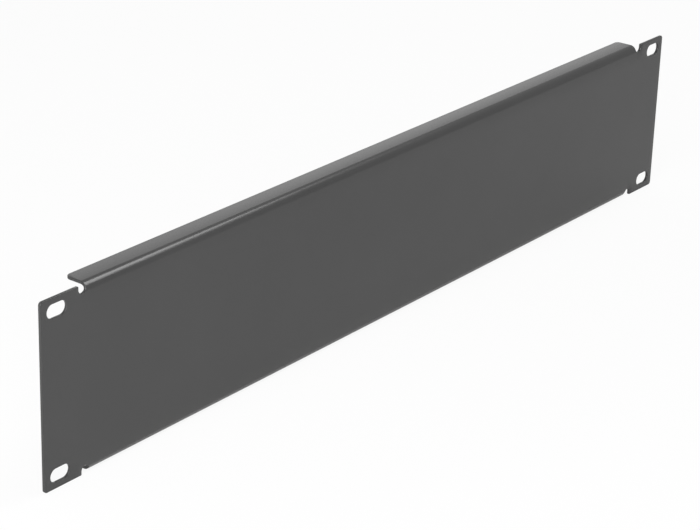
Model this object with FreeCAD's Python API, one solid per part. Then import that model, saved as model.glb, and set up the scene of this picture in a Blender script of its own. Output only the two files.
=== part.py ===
import FreeCAD, Part
import math
import os

os.makedirs("parts", exist_ok=True)

# Rack blanking panel, two units high, pressed from one steel sheet: a flat web
# with an ear at each end, and a flange folded back along the top and the bottom.
#
# Millimetres. The origin is the centre of the four slots, on the back of the
# ears where they seat on the rack's rails. +X runs across the rack, +Y into the
# rack and +Z up. The face seen from the front of the rack looks along -Y.

# Panel of the nineteen-inch rack standard: two units of 44.45, less 0.8 of
# clearance. Screws stand 465.1 apart across and 76.2 apart up and down, a little
# outside the middles of the slots, which are large enough to take that up.
PANEL_WIDTH = 482.6
PANEL_HEIGHT = 88.1
SLOT_FROM_END = 9.5
SLOT_FROM_EDGE = 6.15
SLOT_LENGTH = 11.6
SLOT_WIDTH = 6.5

# Sheet, folds and flanges.
SHEET = 1.5
BEND_INSIDE = 2.2
FLANGE_DEPTH = 12.6
FLANGE_CORNER = 2.5

# Ears, and the reliefs that part them from the flanges. A relief is a round-ended
# notch, cut a little past the bend line into the flat web.
EAR_WIDTH = 22.3
EAR_CORNER = 1.6
EAR_INNER_CORNER = 0.5
RELIEF_WIDTH = 4.7
RELIEF_PAST_BEND = 0.3

# Break on every sheared edge, from deburring.
EDGE_BREAK = 0.2

# Two points this close are one point.
TOUCHING = 1e-6

half_width = PANEL_WIDTH / 2
half_height = PANEL_HEIGHT / 2
front = -SHEET
rear = FLANGE_DEPTH - SHEET
middle_depth = -SHEET / 2
bend_outside = BEND_INSIDE + SHEET
bend_line = half_height - bend_outside
ear_inner = half_width - EAR_WIDTH
flange_end = ear_inner - RELIEF_WIDTH
relief_round = RELIEF_WIDTH / 2
relief_middle = ear_inner - relief_round
relief_floor = bend_line - RELIEF_PAST_BEND

# Cutters reach this far past the faces that they open.
CLEAR = SHEET

ACROSS = FreeCAD.Vector(1, 0, 0)
INWARD = FreeCAD.Vector(0, 1, 0)
UP = FreeCAD.Vector(0, 0, 1)
ORIGIN = FreeCAD.Vector(0, 0, 0)


def rounded_face(corners):
    """Flat face inside a closed outline of (point, corner radius) pairs."""
    runs = []
    for index, (corner, radius) in enumerate(corners):
        before = corners[index - 1][0]
        after = corners[(index + 1) % len(corners)][0]
        back = (before - corner).normalize()
        ahead = (after - corner).normalize()
        half_angle = back.getAngle(ahead) / 2
        reach = radius / math.tan(half_angle)
        inward = (back + ahead).normalize()
        apex = corner + inward * (radius / math.sin(half_angle) - radius)
        runs.append((corner + back * reach, apex, corner + ahead * reach, radius))
    edges = []
    for index, (start, apex, end, radius) in enumerate(runs):
        if radius > 0:
            edges.append(Part.Arc(start, apex, end).toShape())
        next_start = runs[(index + 1) % len(runs)][0]
        if not end.isEqual(next_start, TOUCHING):
            edges.append(Part.makeLine(end, next_start))
    return Part.Face(Part.Wire(edges))


def upright_face(corners, y):
    """Flat face across the panel at depth y, from (x, z, corner radius) corners."""
    return rounded_face([(FreeCAD.Vector(x, y, z), radius) for x, z, radius in corners])


def web_with_ears():
    """Flat of the sheet: the web up to both bend lines, and the ears at full height."""
    upper_right = [
        (relief_middle, bend_line, 0),
        (relief_middle, half_height, 0),
        (half_width, half_height, EAR_CORNER),
    ]
    right = upper_right + [(x, -z, radius) for x, z, radius in reversed(upper_right)]
    whole = right + [(-x, z, radius) for x, z, radius in reversed(right)]
    return upright_face(whole, front).extrude(INWARD * SHEET)


def top_fold():
    """Bend and flange along the top, long enough for the reliefs to cut both ends."""
    section = [
        (front, bend_line, 0),
        (front, half_height, bend_outside),
        (rear, half_height, 0),
        (rear, half_height - SHEET, 0),
        (0, half_height - SHEET, BEND_INSIDE),
        (0, bend_line, 0),
    ]
    profile = [(FreeCAD.Vector(-relief_middle, y, z), radius) for y, z, radius in section]
    return rounded_face(profile).extrude(ACROSS * 2 * relief_middle)


def relief_cutter():
    """Round-ended notch at the upper right, through the web and the flange."""
    above = half_height + CLEAR
    outline = [
        (flange_end, above, 0),
        (flange_end, relief_floor, relief_round),
        (ear_inner, relief_floor, relief_round),
        (ear_inner, above, 0),
    ]
    return upright_face(outline, front - CLEAR).extrude(INWARD * (FLANGE_DEPTH + 2 * CLEAR))


def slot_cutter(x, z):
    """Level slot with round ends, centred at (x, z), through the sheet."""
    outline = [
        (x - SLOT_LENGTH / 2, z - SLOT_WIDTH / 2, SLOT_WIDTH / 2),
        (x + SLOT_LENGTH / 2, z - SLOT_WIDTH / 2, SLOT_WIDTH / 2),
        (x + SLOT_LENGTH / 2, z + SLOT_WIDTH / 2, SLOT_WIDTH / 2),
        (x - SLOT_LENGTH / 2, z + SLOT_WIDTH / 2, SLOT_WIDTH / 2),
    ]
    return upright_face(outline, front - CLEAR).extrude(INWARD * (SHEET + 2 * CLEAR))


def edges_at(shape, x, y, z):
    """Edges whose middles lie at (x, y, z) or at its mirror images across and up."""
    places = [FreeCAD.Vector(sx * x, y, sz * z) for sx in (-1, 1) for sz in (-1, 1)]
    found = []
    for edge in shape.Edges:
        if any(edge.CenterOfMass.isEqual(place, TOUCHING) for place in places):
            found.append(edge)
    return found


def sheared_edges(shape):
    """Edges where faces meet at an angle: every other edge runs on smoothly."""
    found = []
    for edge in shape.Edges:
        middle = edge.valueAt((edge.FirstParameter + edge.LastParameter) / 2)
        normals = []
        for face in shape.ancestorsOfType(edge, Part.Face):
            u, v = face.Surface.parameter(middle)
            normals.append(face.normalAt(u, v))
        if normals[0].getAngle(normals[-1]) > math.pi / 4:
            found.append(edge)
    return found


fold = top_fold()
relief = relief_cutter()
upper_reliefs = [relief, relief.mirror(ORIGIN, ACROSS)]
lower_reliefs = [cutter.mirror(ORIGIN, UP) for cutter in upper_reliefs]
slot_x = half_width - SLOT_FROM_END
slot_z = half_height - SLOT_FROM_EDGE
slots = [slot_cutter(x, z) for x in (-slot_x, slot_x) for z in (-slot_z, slot_z)]

sheet = web_with_ears().fuse([fold, fold.mirror(ORIGIN, UP)])
sheet = sheet.cut(upper_reliefs + lower_reliefs + slots).removeSplitter()
flange_corners = edges_at(sheet, flange_end, rear, half_height - SHEET / 2)
sheet = sheet.makeFillet(FLANGE_CORNER, flange_corners)
ear_corners = edges_at(sheet, ear_inner, middle_depth, half_height)
sheet = sheet.makeFillet(EAR_INNER_CORNER, ear_corners)
blanking_panel = sheet.makeChamfer(EDGE_BREAK, sheared_edges(sheet))
blanking_panel.exportStep("parts/blanking_panel.step")
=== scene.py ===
import math

import bpy
from mathutils import Matrix, Vector


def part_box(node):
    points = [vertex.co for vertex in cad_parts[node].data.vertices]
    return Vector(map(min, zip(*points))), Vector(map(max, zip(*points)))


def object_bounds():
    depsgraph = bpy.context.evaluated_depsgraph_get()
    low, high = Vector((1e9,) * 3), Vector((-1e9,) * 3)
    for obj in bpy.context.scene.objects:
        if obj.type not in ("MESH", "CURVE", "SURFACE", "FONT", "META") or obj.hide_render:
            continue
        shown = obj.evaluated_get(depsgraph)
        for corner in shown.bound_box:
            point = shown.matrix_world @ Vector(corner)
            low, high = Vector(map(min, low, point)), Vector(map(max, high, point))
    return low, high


# Looks of the rack blanking panel: one folded steel sheet with a dark grey powder
# coat, standing on a white studio floor. Metres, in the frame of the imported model.

MM = 0.001
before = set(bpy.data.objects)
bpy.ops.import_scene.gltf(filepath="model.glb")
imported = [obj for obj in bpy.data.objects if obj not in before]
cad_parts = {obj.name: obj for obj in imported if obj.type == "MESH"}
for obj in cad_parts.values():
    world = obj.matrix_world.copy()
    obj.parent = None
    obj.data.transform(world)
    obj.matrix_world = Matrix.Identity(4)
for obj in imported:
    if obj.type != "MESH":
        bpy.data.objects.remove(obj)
cad_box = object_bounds()


def linear(hex_colour):
    """RGBA in linear light from an sRGB hex colour such as #3a3b3d."""
    channels = [int(hex_colour[i : i + 2], 16) / 255 for i in (1, 3, 5)]
    return [c / 12.92 if c <= 0.04045 else ((c + 0.055) / 1.055) ** 2.4 for c in channels] + [1.0]


def add_node(tree, kind, inputs=None, **settings):
    """New node with its settings. An input takes a value, a socket or a node's first output."""
    node = tree.nodes.new(kind)
    for name, value in settings.items():
        setattr(node, name, value)
    for name, value in (inputs or {}).items():
        source = value.outputs[0] if isinstance(value, bpy.types.Node) else value
        if isinstance(source, bpy.types.NodeSocket):
            tree.links.new(source, node.inputs[name])
        else:
            node.inputs[name].default_value = source
    return node


def new_material(name):
    """New material with an empty node tree, and that tree."""
    material = bpy.data.materials.new(name)
    material.use_nodes = True
    material.node_tree.nodes.clear()
    return material, material.node_tree


# ---------------------------------------------------------------- the coating

# Shade and roughness drift between two values each, in clouds of one size.
COAT_DARK = "#383838"
COAT_LIGHT = "#3e3e3e"
COAT_ROUGHNESS = (0.18, 0.24)
CLOUD_MM = 60.0
COAT_IOR = 1.45
# Orange peel of the levelled coat, and the grit of its powder. Real grains are about
# 0.1 mm across, too fine to show, so the grit is drawn coarser.
PEEL_MM = 3.0
PEEL_HEIGHT_MM = 0.006
GRIT_MM = 0.45
GRIT_HEIGHT_MM = 0.004

# Beside each fold the sheet is not quite flat: it bows towards the bend. The bow is
# too slight for the outline and only shows in how light slides over the fold. It has
# its reach from the bend line and its depth there.
BEND_OUTSIDE_MM = 3.7
FLANGE_BOW_MM = {"reach": 6.0, "depth": 0.09}
WEB_BOW_MM = {"reach": 7.0, "depth": 0.42}
# The web's bow ends short of the flat ears, between these distances from the ends.
WEB_BOW_ENDS_MM = (26.0, 20.0)

# Points nearer than this are joined, so that each broken edge is shaded with its
# neighbours.
WELD_MM = 0.001


def bow(tree, position, bend_line, way_to_flat, reach, depth):
    """Height of a parabola that sinks from the flat to the bend line and goes on past it."""
    flat = bend_line + way_to_flat * reach * MM
    nearness = add_node(tree, "ShaderNodeMapRange", {
        "Value": position, "From Min": flat, "From Max": bend_line,
    }, clamp=False)
    beside_fold = add_node(tree, "ShaderNodeMath", {0: nearness, 1: 0.0}, operation="MAXIMUM")
    parabola = add_node(tree, "ShaderNodeMath", {0: beside_fold, 1: 2.0}, operation="POWER")
    return add_node(tree, "ShaderNodeMath", {0: parabola, 1: -depth * MM}, operation="MULTIPLY")


def bow_beside_folds(tree, place):
    """Height of both bows, in metres: the flange's all along, the web's between the ears."""
    low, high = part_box("blanking_panel")
    across, deep, up = add_node(tree, "ShaderNodeSeparateXYZ", {0: place}).outputs
    from_middle = add_node(tree, "ShaderNodeMath", {0: across}, operation="ABSOLUTE")
    from_centre_line = add_node(tree, "ShaderNodeMath", {0: up}, operation="ABSOLUTE")
    flange = bow(tree, deep, low[1] + BEND_OUTSIDE_MM * MM, 1, **FLANGE_BOW_MM)
    web = bow(tree, from_centre_line, high[2] - BEND_OUTSIDE_MM * MM, -1, **WEB_BOW_MM)
    between_ears = add_node(tree, "ShaderNodeMapRange", {
        "Value": from_middle, "To Min": 1.0, "To Max": 0.0,
        "From Min": high[0] - WEB_BOW_ENDS_MM[0] * MM,
        "From Max": high[0] - WEB_BOW_ENDS_MM[1] * MM,
    }, interpolation_type="SMOOTHSTEP")
    web_between = add_node(tree, "ShaderNodeMath", {0: web, 1: between_ears}, operation="MULTIPLY")
    return add_node(tree, "ShaderNodeMath", {0: flange, 1: web_between}, operation="ADD")


def powder_coat():
    """Polyester powder coat, sprayed dry and baked: semi-matt dark grey over steel.

    The melted powder levels into a faint orange peel with a fine grit in it, which
    breaks up reflections at a low angle, and its gloss and shade drift a little
    across the sheet.
    """
    material, tree = new_material("powder_coat_dark_grey")
    place = add_node(tree, "ShaderNodeTexCoord").outputs["Object"]
    clouds = add_node(tree, "ShaderNodeTexNoise", {
        "Vector": place, "Scale": 1 / (CLOUD_MM * MM), "Detail": 2.0,
    })
    shade = add_node(tree, "ShaderNodeValToRGB", {"Fac": clouds})
    for stop, colour in zip(shade.color_ramp.elements, (COAT_DARK, COAT_LIGHT)):
        stop.color = linear(colour)
    gloss = add_node(tree, "ShaderNodeMapRange", {
        "Value": clouds, "To Min": COAT_ROUGHNESS[0], "To Max": COAT_ROUGHNESS[1],
    })
    surface = add_node(tree, "ShaderNodeBump", {
        "Height": bow_beside_folds(tree, place), "Distance": 1.0,
    })
    for grain, height, detail in ((PEEL_MM, PEEL_HEIGHT_MM, 1.0), (GRIT_MM, GRIT_HEIGHT_MM, 2.0)):
        grains = add_node(tree, "ShaderNodeTexNoise", {
            "Vector": place, "Scale": 1 / (grain * MM), "Detail": detail,
        })
        surface = add_node(tree, "ShaderNodeBump", {
            "Height": grains, "Distance": height * MM, "Normal": surface,
        })
    coat = add_node(tree, "ShaderNodeBsdfPrincipled", {
        "Base Color": shade, "Roughness": gloss, "IOR": COAT_IOR, "Normal": surface,
    })
    add_node(tree, "ShaderNodeOutputMaterial", {"Surface": coat})
    return material


def finish_panel():
    """The sheet gets its coat, and every broken edge is shaded as a soft round."""
    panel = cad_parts["blanking_panel"]
    panel.material_slots[0].material = powder_coat()
    weld = panel.modifiers.new("join_faces", "WELD")
    weld.merge_threshold = WELD_MM * MM
    panel.modifiers.new("soft_edges", "WEIGHTED_NORMAL")


# ---------------------------------------------------------------- the studio

FLOOR_WIDE = 12.0
FLOOR_COLOUR = "#f2f2f2"
# The paper lies a hair under the panel, so that no two faces share a plane.
FLOOR_BELOW_MM = 0.05
# Share of plain white in the floor, by the ray that meets it.
FLOOR_WHITE = {"Is Camera Ray": 0.9, "Is Glossy Ray": 0.15, "Is Transmission Ray": 0.15}

# The room's light, by direction. The white wall behind the panel is lit up to a height
# over its distance, fades out sideways and is a little dimmer on the left. The walls at
# the sides, light on the right and dim on the left, darken towards the back. Each row
# fades from its first level to its second while a direction goes over a span.
ROOM = {
    "wall_behind": (
        {"direction": "height_over_back", "span": (0.64, 0.95), "levels": (1.3, 0.0)},
        {"direction": "back", "span": (0.30, 0.62), "levels": (0.0, 1.0)},
        {"direction": "right", "span": (0.76, 0.62), "levels": (1.0, 0.75)},
    ),
    "side_walls": (
        {"direction": "right", "span": (0.0, 0.5), "levels": (0.15, 0.6)},
        {"direction": "back", "span": (0.35, 0.6), "levels": (1.0, 0.35)},
    ),
}

# Lamps that face the panel. Azimuth is counted from +X towards +Y, in degrees.
SOFTBOXES = {
    "key": {"azimuth": -158, "elevation": 25, "distance": 1.3, "size": (1.1, 1.1), "radiance": 5.0},
    "side": {"azimuth": -15, "elevation": 58.8, "distance": 1.5, "size": (0.8, 0.47), "radiance": 6.1},
}

# Camera: what it looks at, from how far, how it is turned, and its long lens.
TARGET = Vector((-0.0358, -0.0015, -0.0058))
DISTANCE = 1.1362
AZIMUTH = math.radians(52.54)
ELEVATION = math.radians(23.40)
ROLL = math.radians(1.84)
LENS_MM = 122.71
SENSOR_MM = 36.0
SHIFT = (0.0, 0.0017)


def seen_white(tree):
    """Share of plain white in the floor: most of it for the camera, less in reflections."""
    path = add_node(tree, "ShaderNodeLightPath")
    white = 0.0
    for ray, share in FLOOR_WHITE.items():
        seen = add_node(tree, "ShaderNodeMath", {0: path.outputs[ray], 1: share}, operation="MULTIPLY")
        white = add_node(tree, "ShaderNodeMath", {0: white, 1: seen}, operation="MAXIMUM")
    return white


def studio_paper():
    """Pale matt paper, seen white, that keeps a light shadow of the panel."""
    material, tree = new_material("studio_paper")
    paper = add_node(tree, "ShaderNodeBsdfDiffuse", {"Color": linear(FLOOR_COLOUR)})
    white = add_node(tree, "ShaderNodeEmission", {"Strength": 1.0})
    mix = add_node(tree, "ShaderNodeMixShader", {"Fac": seen_white(tree), 1: paper, 2: white})
    add_node(tree, "ShaderNodeOutputMaterial", {"Surface": mix})
    return material


def studio_floor():
    """Square sheet of paper that the panel stands on."""
    half = FLOOR_WIDE / 2
    level = cad_box[0][2] - FLOOR_BELOW_MM * MM
    corners = [(-half, -half, level), (half, -half, level), (half, half, level), (-half, half, level)]
    mesh = bpy.data.meshes.new("studio_floor")
    mesh.from_pydata(corners, [], [(0, 1, 2, 3)])
    mesh.materials.append(studio_paper())
    floor = bpy.data.objects.new("studio_floor", mesh)
    bpy.context.scene.collection.objects.link(floor)


def studio_world():
    """Room that lights the panel softly and that the coat reflects."""
    world = bpy.data.worlds.new("studio_world")
    world.use_nodes = True
    bpy.context.scene.world = world
    tree = world.node_tree
    tree.nodes.clear()
    view = add_node(tree, "ShaderNodeTexCoord").outputs["Generated"]
    right, back, height = add_node(tree, "ShaderNodeSeparateXYZ", {0: view}).outputs
    slope = add_node(tree, "ShaderNodeMath", {0: height, 1: back}, operation="DIVIDE")
    directions = {"right": right, "back": back, "height_over_back": slope}
    light = 0.0
    for fades in ROOM.values():
        wall = 1.0
        for fade in fades:
            eased = add_node(tree, "ShaderNodeMapRange", {
                "Value": directions[fade["direction"]],
                "From Min": fade["span"][0], "From Max": fade["span"][1],
                "To Min": fade["levels"][0], "To Max": fade["levels"][1],
            }, interpolation_type="SMOOTHSTEP")
            wall = add_node(tree, "ShaderNodeMath", {0: wall, 1: eased}, operation="MULTIPLY")
        light = add_node(tree, "ShaderNodeMath", {0: light, 1: wall}, operation="ADD")
    sky = add_node(tree, "ShaderNodeBackground", {"Color": linear("#ffffff"), "Strength": light})
    add_node(tree, "ShaderNodeOutputWorld", {"Surface": sky})


def softbox(name, azimuth, elevation, distance, size, radiance):
    """Rectangular lamp, of a given width and height, that faces the panel."""
    lamp = bpy.data.lights.new(name, "AREA")
    lamp.shape = "RECTANGLE"
    lamp.size, lamp.size_y = size
    lamp.energy = radiance * math.pi * size[0] * size[1]
    light = bpy.data.objects.new(name, lamp)
    turn = math.radians(azimuth)
    rise = math.radians(elevation)
    away = Vector((math.cos(rise) * math.cos(turn), math.cos(rise) * math.sin(turn), math.sin(rise)))
    light.location = away * distance
    light.rotation_euler = away.to_track_quat("Z", "Y").to_euler()
    bpy.context.scene.collection.objects.link(light)


def studio_camera():
    """Long lens from the front left, above the panel, rolled a little."""
    data = bpy.data.cameras.new("camera")
    data.lens = LENS_MM
    data.sensor_width = SENSOR_MM
    data.shift_x, data.shift_y = SHIFT
    data.clip_end = 2 * FLOOR_WIDE
    flat = math.cos(ELEVATION)
    ahead = Vector((flat * math.sin(AZIMUTH), flat * math.cos(AZIMUTH), -math.sin(ELEVATION)))
    level = ahead.cross(Vector((0, 0, 1))).normalized()
    right = Matrix.Rotation(-ROLL, 3, ahead) @ level
    up = right.cross(ahead)
    camera = bpy.data.objects.new("camera", data)
    axes = Matrix((right, up, -ahead)).transposed()
    camera.matrix_world = Matrix.Translation(TARGET - ahead * DISTANCE) @ axes.to_4x4()
    bpy.context.scene.collection.objects.link(camera)
    bpy.context.scene.camera = camera


studio_camera()
finish_panel()
studio_floor()
studio_world()
for name, setup in SOFTBOXES.items():
    softbox(name, **setup)
bpy.context.scene.view_settings.view_transform = "Standard"
